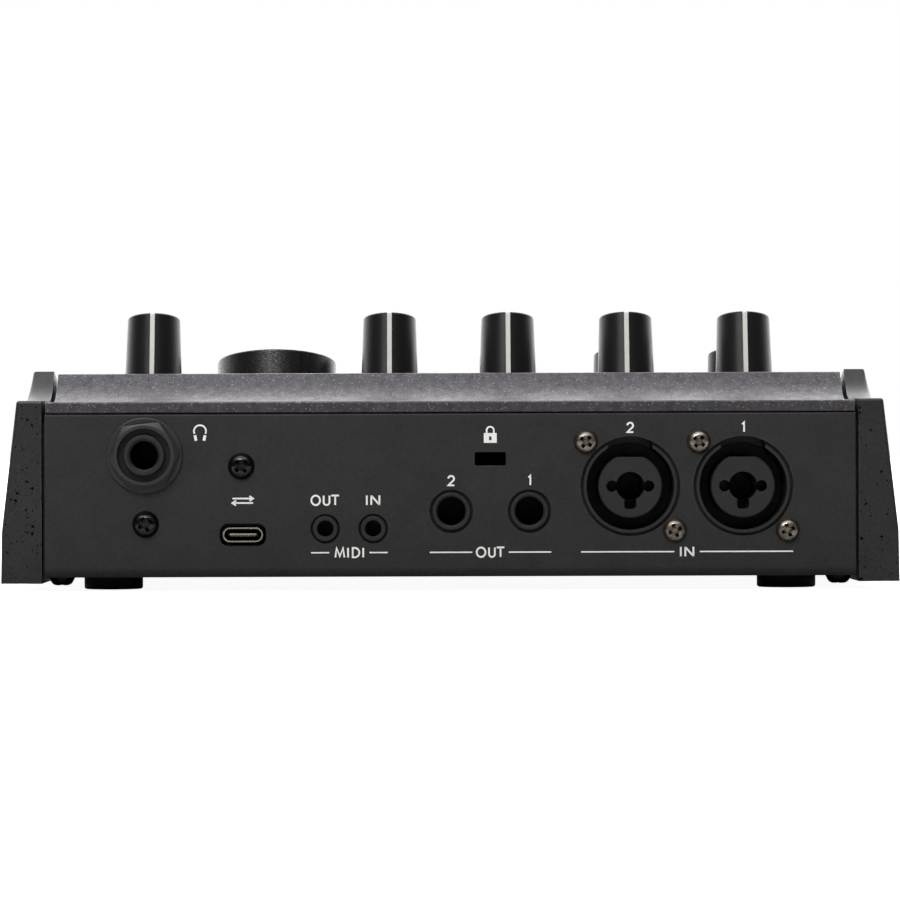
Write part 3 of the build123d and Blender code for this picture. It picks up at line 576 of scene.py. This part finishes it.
knobPlastic = satinPlastic("knobPlastic", (0.004, 0.0038, 0.0041), (0.0075, 0.0071, 0.0076), 0.36, shine=0.2)
socketPlastic = satinPlastic(
    "socketPlastic", (0.010, 0.010, 0.0102), (0.022, 0.0215, 0.0215), 0.5,
    grainScale=1800, grainDepth=0.00004, shine=0.3, reach=0.0022)
nodeFinish = {
    "black_sheet": powderCoat(),
    "grey_cover": fleckedCoat(),
    "cheek_casting": pittedCasting(),
    "nickel": platedMetal("wornNickel", (0.12, 0.103, 0.086), (0.34, 0.3, 0.255), 0.3, (0.6, 0.55, 0.48)),
    "black_screw": platedMetal("blackOxide", (0.02, 0.02, 0.02), (0.06, 0.06, 0.06), 0.14, (0.2, 0.2, 0.2)),
    "black_nut": satinPlastic("blackNickel", (0.010, 0.010, 0.010), (0.02, 0.02, 0.02), 0.4, 1500, 0.00003),
    "rubber": satinPlastic("footRubber", (0.006, 0.006, 0.006), (0.012, 0.012, 0.012), 0.7, 1500, 0.00005),
    "board_green": satinPlastic("solderMask", (0.008, 0.05, 0.02), (0.015, 0.08, 0.03), 0.4),
    "brass": platedMetal("turnedBrass", (0.35, 0.24, 0.08), (0.6, 0.44, 0.18), 0.3),
    "socket_plastic": socketPlastic,
    "steel_shell": platedMetal(
        "plugSteel", (0.3, 0.27, 0.2), (0.55, 0.5, 0.4), 0.26, (0.8, 0.75, 0.62), reach=0.004),
    "pot_body": satinPlastic("potBody", (0.02, 0.03, 0.07), (0.03, 0.045, 0.1), 0.5),
    "switch_body": satinPlastic("switchBody", (0.02, 0.02, 0.02), (0.03, 0.03, 0.03), 0.5),
    "smoked_lens": smokedLens(),
    "ribbon_grey": satinPlastic("ribbonGrey", (0.28, 0.28, 0.28), (0.36, 0.36, 0.36), 0.6),
    "knob_black": knobPlastic,
    "output_knob_black": turnedBlack(),
    "shaft_metal": platedMetal("shaftMetal", (0.35, 0.35, 0.35), (0.55, 0.55, 0.55), 0.3),
    "cap_grey": satinPlastic("capGrey", (0.05, 0.05, 0.052), (0.075, 0.075, 0.077), 0.5),
}
inkWhite = whiteInk()
pointerWhite = whiteInk("pointerWhite", (0.53, 0.515, 0.485), (0.66, 0.64, 0.605))
tongueWhite = whiteInk("tongueWhite", (0.3, 0.29, 0.27), (0.42, 0.41, 0.38))
lampBar = satinPlastic("lampBar", (0.2, 0.15, 0.03), (0.28, 0.21, 0.05), 0.22)
meterTones = {
    "Low": satinPlastic("meterGreen", (0.01, 0.06, 0.015), (0.015, 0.09, 0.025), 0.25),
    "Mid": satinPlastic("meterAmber", (0.1, 0.06, 0.006), (0.14, 0.085, 0.01), 0.25),
    "Top": satinPlastic("meterRed", (0.09, 0.008, 0.006), (0.13, 0.012, 0.01), 0.25),
}

for part in frame["record"]["subparts"]:
    mesh = frame["nodes"][part["node"]].data
    mesh.materials.clear()
    mesh.materials.append(nodeFinish[part["material_slot"]])
print("materials assigned")


# mesh helpers
def makePiece(name, bm, material, body):
    bmesh.ops.recalc_face_normals(bm, faces=bm.faces)
    mesh = bpy.data.meshes.new(name)
    bm.to_mesh(mesh)
    bm.free()
    mesh.materials.append(material)
    piece = bpy.data.objects.new(name, mesh)
    bpy.context.collection.objects.link(piece)
    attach(piece, body)


# a raised strip of ink along flat points; place turns (u, v, h) into a point of the frame
def ribbon(bm, points, width, closed, place, height):
    count = len(points)
    rings = []
    for i, here in enumerate(points):
        back = points[i - 1] if i or closed else None
        ahead = points[(i + 1) % count] if i < count - 1 or closed else None
        ways = []
        if back is not None:
            ways.append((here - back).normalized())
        if ahead is not None:
            ways.append((ahead - here).normalized())
        way = sum(ways, Vector((0, 0))).normalized()
        side = Vector((-way.y, way.x))
        lean = max(0.45, side.dot(Vector((-ways[0].y, ways[0].x))))
        reach = side * (width / 2 / lean)
        rings.append([bm.verts.new(place(here.x + s * reach.x, here.y + s * reach.y, h))
                      for s, h in ((-1, 0), (1, 0), (1, height), (-1, height))])
    spans = list(zip(rings, rings[1:] + rings[:1])) if closed else list(zip(rings, rings[1:]))
    for a, b in spans:
        for k in range(4):
            bm.faces.new((a[k], a[(k + 1) % 4], b[(k + 1) % 4], b[k]))
    if not closed:
        bm.faces.new(rings[0])
        bm.faces.new(rings[-1][::-1])


def arc(cx, cy, r, start, end, steps=20, squeeze=1.0):
    angles = [math.radians(start + (end - start) * i / steps) for i in range(steps + 1)]
    return [Vector((cx + r * squeeze * math.cos(a), cy + r * math.sin(a))) for a in angles]


def line(*pairs):
    return [Vector(p) for p in pairs]


# printed lettering and signs on the socket panel
inkSpec = {
    "height": 2.5,  # of a capital, in mm
    "stroke": 0.4,
    "ruleStroke": 0.3,
    "thickness": 0.03,
    "sink": 0.005,
}

# strokes of each letter for a capital height of 1, as (points, closed), with its width and side bearings
letters = {
    "I": ([(line((0, 0), (0, 1)), False)], 0.0, 0.22, 0.22),
    "N": ([(line((0, 0), (0, 1)), False), (line((0.86, 0), (0.86, 1)), False),
           (line((0.03, 0.96), (0.83, 0.04)), False)], 0.86, 0.26, 0.2),
    "O": ([(arc(0.46, 0.5, 0.5, 0, 352.5, 47, 0.92), True)], 0.92, 0.19, 0.19),
    "U": ([(line((0, 1), (0, 0.31)) + arc(0.31, 0.31, 0.31, 180, 360)[1:] + line((0.62, 1)), False)],
          0.62, 0.196, 0.12),
    "T": ([(line((0, 1), (0.8, 1)), False), (line((0.4, 0), (0.4, 0.97)), False)], 0.8, 0.085, 0.085),
    "M": ([(line((0, 0), (0.13, 1), (0.475, 0.1), (0.82, 1), (0.95, 0)), False)], 0.95, 0.19, 0.175),
    "D": ([(line((0, 0), (0, 1)) + arc(0.2, 0.5, 0.5, 90, -90, 24), True)], 0.7, 0.28, 0.195),
    "1": ([(line((0, 0.8), (0.2, 1), (0.2, 0)), False)], 0.2, 0.1, 0.1),
    "2": ([(arc(0.3, 0.7, 0.3, 175, -38, 18) + line((0, 0), (0.64, 0)), False)], 0.62, 0.05, 0.05),
    "3": ([(arc(0.3, 0.74, 0.26, 155, -80, 14), False), (arc(0.3, 0.26, 0.28, 80, -155, 16), False)],
          0.6, 0.05, 0.05),
    "4": ([(line((0.66, 0.28), (0, 0.28), (0.48, 1), (0.48, 0)), False)], 0.66, 0.05, 0.05),
}


def onRearPanel(x, z, y=rearPanelY):
    # u runs to the reader's right, which is -X from behind
    def place(u, v, h):
        return Vector((x - u * mm, y + (h - inkSpec["sink"]) * mm, z + v * mm))
    return place


def wordWidth(word):
    inner = sum(letters[a][3] + letters[b][2] for a, b in zip(word, word[1:]))
    return sum(letters[c][1] for c in word) + inner


def writeWord(bm, word, place, height):
    pen = -wordWidth(word) / 2
    for i, letter in enumerate(word):
        strokes, width, left, right = letters[letter]
        if i:
            pen += left
        for points, closed in strokes:
            moved = [Vector(((p.x + pen) * height, (p.y - 0.5) * height)) for p in points]
            ribbon(bm, moved, inkSpec["stroke"], closed, place, inkSpec["thickness"])
        pen += width + right


def printWord(name, word, x, z):
    bm = bmesh.new()
    writeWord(bm, word, onRearPanel(x, z), inkSpec["height"] - inkSpec["stroke"])
    makePiece(name, bm, inkWhite, "case")


def printRuledWord(name, word, x, z, inner, outer):
    bm = bmesh.new()
    place = onRearPanel(x, z)
    writeWord(bm, word, place, inkSpec["height"] - inkSpec["stroke"])
    for side in (-1, 1):
        rule = line((side * inner, 0), (side * outer, 0))
        ribbon(bm, rule, inkSpec["ruleStroke"], False, place, inkSpec["thickness"])
    makePiece(name, bm, inkWhite, "case")


# how far above its socket each label stands, in mm
labelSpec = {"overMini": 6.35, "overLine": 6.85, "overCombo": 13.1}
printWord("labelMidiOut", "OUT", mounts["midi_out"].x, mounts["midi_out"].z + labelSpec["overMini"] * mm)
printWord("labelMidiIn", "IN", mounts["midi_in"].x, mounts["midi_in"].z + labelSpec["overMini"] * mm)
for number in "12":
    lineOut, combo = mounts["line_out_" + number], mounts["mic_xlr_in_" + number]
    printWord("labelLineOut" + number, number, lineOut.x, lineOut.z + labelSpec["overLine"] * mm)
    printWord("labelCombo" + number, number, combo.x, combo.z + labelSpec["overCombo"] * mm)

# the row of group names: height, then the word, its two sockets and its rules' near and far ends
groupSpec = {
    "z": 8.65 * mm,
    "labelMidiGroup": ("MIDI", "midi_in", "midi_out", 4.5, 8.55),
    "labelOutGroup": ("OUT", "line_out_1", "line_out_2", 4.07, 13.55),
    "labelInGroup": ("IN", "mic_xlr_in_1", "mic_xlr_in_2", 2.85, 23.65),
}
for name in ("labelMidiGroup", "labelOutGroup", "labelInGroup"):
    word, first, second, inner, outer = groupSpec[name]
    printRuledWord(name, word, (mounts[first].x + mounts[second].x) / 2, groupSpec["z"], inner, outer)

headphonesSpec = {
    "place": ("phones_out", -12.4, 4.8), "bandRadius": 1.35, "bandUp": 0.55, "bandEnds": (205, -25),
    "stroke": 0.36, "cup": ((1.12, -0.35), (0.88, -1.55)), "cupStroke": 0.62,
}
padlockSpec = {
    "place": ("lock_slot", 0, 5.4), "shackleRadius": 0.8, "shackleUp": 0.95, "shackleFoot": 0.3,
    "stroke": 0.36, "half": (0.86, -1.85, 0.35), "halfStroke": 1.16,
    "bridges": ((-0.02, 0.74), (-1.55, 0.6)), "bridgeHalf": 0.3,  # height and stroke of each bridge
}
arrowSpec = {
    "place": ("usb_port", 0, 7.6), "tail": 2.3, "tip": 2.0, "level": 0.5, "stroke": 0.36,
    "headBack": 1.5, "headTip": 2.35, "headHalf": 0.55, "headStroke": 0.34,
}


def signPlace(spec):
    mount, right, up = spec["place"]
    return onRearPanel(mounts[mount].x + right * mm, mounts[mount].z + up * mm)


def printHeadphones(spec):
    bm = bmesh.new()
    place = signPlace(spec)
    band = arc(0, spec["bandUp"], spec["bandRadius"], *spec["bandEnds"], 26)
    ribbon(bm, band, spec["stroke"], False, place, inkSpec["thickness"])
    for side in (-1, 1):
        cup = line(*[(side * u, v) for u, v in spec["cup"]])
        ribbon(bm, cup, spec["cupStroke"], False, place, inkSpec["thickness"])
    makePiece("signHeadphones", bm, inkWhite, "case")


def printPadlock(spec):
    # solid body, keyhole left as bare panel: two halves and two bridges
    bm = bmesh.new()
    place = signPlace(spec)
    reach, foot = spec["shackleRadius"], spec["shackleFoot"]
    shackle = line((-reach, foot)) + arc(0, spec["shackleUp"], reach, 180, 0, 16) + line((reach, foot))
    ribbon(bm, shackle, spec["stroke"], False, place, inkSpec["thickness"])
    across, low, high = spec["half"]
    for u in (-across, across):
        ribbon(bm, line((u, low), (u, high)), spec["halfStroke"], False, place, inkSpec["thickness"])
    for level, stroke in spec["bridges"]:
        bridge = line((-spec["bridgeHalf"], level), (spec["bridgeHalf"], level))
        ribbon(bm, bridge, stroke, False, place, inkSpec["thickness"])
    makePiece("signPadlock", bm, inkWhite, "case")


def printTwoWayArrow(spec):
    # a plain sign for a data port
    bm = bmesh.new()
    place = signPlace(spec)
    for side in (-1, 1):
        level = side * spec["level"]
        shaft = line((-side * spec["tail"], level), (side * spec["tip"], level))
        ribbon(bm, shaft, spec["stroke"], False, place, inkSpec["thickness"])
        back, tip, half = side * spec["headBack"], side * spec["headTip"], spec["headHalf"]
        head = line((back, level + half), (tip, level), (back, level - half))
        ribbon(bm, head, spec["headStroke"], False, place, inkSpec["thickness"])
    makePiece("signDataPort", bm, inkWhite, "case")


printHeadphones(headphonesSpec)
printPadlock(padlockSpec)
printTwoWayArrow(arrowSpec)
print("lettering printed")


# tongue of the data port: its plated edge and contacts
contactSpec = {
    "edge": 5.8, "edgeWidth": 0.3, "edgeUp": 0.12, "thickness": 0.03,
    "count": 9, "pitch": 0.62, "size": (0.3, 0.16), "down": 0.26,
}


def makeContacts(spec):
    low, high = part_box("usb_tongue")
    place = onRearPanel(mounts["usb_port"].x, (low.z + high.z) / 2, high.y)
    bm = bmesh.new()
    edge = line((-spec["edge"] / 2, spec["edgeUp"]), (spec["edge"] / 2, spec["edgeUp"]))
    ribbon(bm, edge, spec["edgeWidth"], False, place, spec["thickness"])
    makePiece("usbTongueEdge", bm, tongueWhite, "case")
    bm = bmesh.new()
    for i in range(spec["count"]):
        u = (i - (spec["count"] - 1) / 2) * spec["pitch"]
        ends = line((u - spec["size"][0] / 2, -spec["down"]), (u + spec["size"][0] / 2, -spec["down"]))
        ribbon(bm, ends, spec["size"][1], False, place, spec["thickness"])
    makePiece("usbTongueContacts", bm, nodeFinish["brass"], "case")


makeContacts(contactSpec)
print("contacts made")


# pointer inlays of the small knobs
panelNormal = Vector(joints["output_knob"]["axis"]).normalized()
panelRight = Vector((1, 0, 0))
panelUp = panelNormal.cross(panelRight)
pointerSpec = {
    "width": 1.06, "proud": 0.02, "depth": 0.24,
    "baseRadius": 6.7, "taper": 1.9, "height": 16.5, "edge": 0.6, "gap": 0.5,
    "edgeSteps": 8, "tuck": 1.02,  # steps round the edge, and how far in its centre sits
}


def pointerProfile(spec):
    # up the knob's side, round its edge and in to the middle, as (outwards, up, normal)
    slope = math.radians(spec["taper"])
    topRadius = spec["baseRadius"] - spec["height"] * math.tan(slope)
    points = []
    side = Vector((math.cos(slope), math.sin(slope)))
    edge = spec["edge"]
    inset = edge * math.tan(math.radians(45) - slope / 2) * spec["tuck"]
    centre = Vector((topRadius - inset, spec["height"] - edge))
    points.append((Vector((spec["baseRadius"], 0)), side))
    for i in range(spec["edgeSteps"] + 1):
        angle = slope + (math.pi / 2 - slope) * i / spec["edgeSteps"]
        out = Vector((math.cos(angle), math.sin(angle)))
        points.append((centre + out * edge, out))
    points.append((Vector((0, spec["height"])), Vector((0, 1))))
    return points


def makePointer(knob, spec):
    seat = Vector(joints[knob]["pos_m"]) + panelNormal * spec["gap"] * mm
    bm = bmesh.new()
    rings = []
    for point, out in pointerProfile(spec):
        ring = []
        low, high = -spec["depth"], spec["proud"]
        for u, h in ((-0.5, low), (0.5, low), (0.5, high), (-0.5, high)):
            flat = point + out * h
            ring.append(bm.verts.new(
                seat + (panelRight * (u * spec["width"]) + panelUp * flat.x + panelNormal * flat.y) * mm))
        rings.append(ring)
    for a, b in zip(rings, rings[1:]):
        for k in range(4):
            bm.faces.new((a[k], a[(k + 1) % 4], b[(k + 1) % 4], b[k]))
    bm.faces.new(rings[0])
    bm.faces.new(rings[-1][::-1])
    makePiece(knob + "_pointer", bm, pointerWhite, knob)


smallKnobs = [name for name in joints if "knob" in name and name != "output_knob"]
for knob in smallKnobs:
    makePointer(knob, pointerSpec)
print("pointers made")


# scales and numbers on the control panel, lamps of the buttons, meter
scaleSpec = {
    "ticks": 11, "sweep": 150, "stroke": 0.28,
    "smallRing": (8.6, 9.7), "outputRing": (16.6, 18.2),
    "numberUp": 12.1, "number": 1.9,
}


def onPanel(origin):
    # u runs to the player's right, v up the slope
    def place(u, v, h):
        return origin + (panelRight * u + panelUp * v + panelNormal * (h - inkSpec["sink"])) * mm
    return place


def printScale(knob, ring, number=None):
    bm = bmesh.new()
    place = onPanel(Vector(joints[knob]["pos_m"]))
    for i in range(scaleSpec["ticks"]):
        angle = math.radians(90 + scaleSpec["sweep"] * (2 * i / (scaleSpec["ticks"] - 1) - 1))
        way = Vector((math.cos(angle), math.sin(angle)))
        ribbon(bm, [way * ring[0], way * ring[1]], scaleSpec["stroke"], False, place, inkSpec["thickness"])
    if number:
        def above(u, v, h):
            return place(u, v + scaleSpec["numberUp"], h)
        writeWord(bm, number, above, scaleSpec["number"])
    makePiece(knob + "_scale", bm, inkWhite, "case")


for knob in smallKnobs:
    printScale(knob, scaleSpec["smallRing"], knob[-1] if knob.startswith("gain") else None)
printScale("output_knob", scaleSpec["outputRing"])


flatWithin = 0.02 * mm


def topOf(name):
    # middle of the face that looks out of the panel
    piece = frame["nodes"][name]
    points = [piece.matrix_world @ v.co for v in piece.data.vertices]
    top = max(p.dot(panelNormal) for p in points)
    face = [p for p in points if p.dot(panelNormal) > top - flatWithin]
    middle = [(min(p[k] for p in face) + max(p[k] for p in face)) / 2 for k in range(3)]
    return Vector(middle)


lampSpec = {"half": 2.6, "up": 1.9, "width": 0.8, "thickness": 0.03}
for button in [name for name in joints if name.startswith("button")]:
    bm = bmesh.new()
    place = onPanel(topOf(button))
    bar = line((-lampSpec["half"], lampSpec["up"]), (lampSpec["half"], lampSpec["up"]))
    ribbon(bm, bar, lampSpec["width"], False, place, lampSpec["thickness"])
    makePiece(button + "_lamp", bm, lampBar, button)

meterSpec = {"count": 20, "pitch": 3.9, "length": 3.1, "width": 1.1, "rows": (-1.0, 1.0),
             "zones": {"Low": (0, 14), "Mid": (14, 18), "Top": (18, 20)}}
for zone, (first, last) in meterSpec["zones"].items():
    bm = bmesh.new()
    place = onPanel(topOf("meter_lens"))
    for i in range(first, last):
        u = (i - (meterSpec["count"] - 1) / 2) * meterSpec["pitch"]
        for v in meterSpec["rows"]:
            cell = line((u - meterSpec["length"] / 2, v), (u + meterSpec["length"] / 2, v))
            ribbon(bm, cell, meterSpec["width"], False, place, inkSpec["thickness"])
    makePiece("meterCells" + zone, bm, meterTones[zone], "case")
print("control panel dressed")


# floor
floorSpec = {"radius": 14.0, "sides": 96}


def makeFloor(spec):
    bm = bmesh.new()
    angles = [2 * math.pi * i / spec["sides"] for i in range(spec["sides"])]
    rim = [(spec["radius"] * math.cos(a), spec["radius"] * math.sin(a), 0) for a in angles]
    bm.faces.new([bm.verts.new(point) for point in rim])
    mesh = bpy.data.meshes.new("studioFloor")
    bm.to_mesh(mesh)
    bm.free()
    mesh.materials.append(palePaper())
    floor = bpy.data.objects.new("studioFloor", mesh)
    bpy.context.collection.objects.link(floor)


makeFloor(floorSpec)
print("floor made")
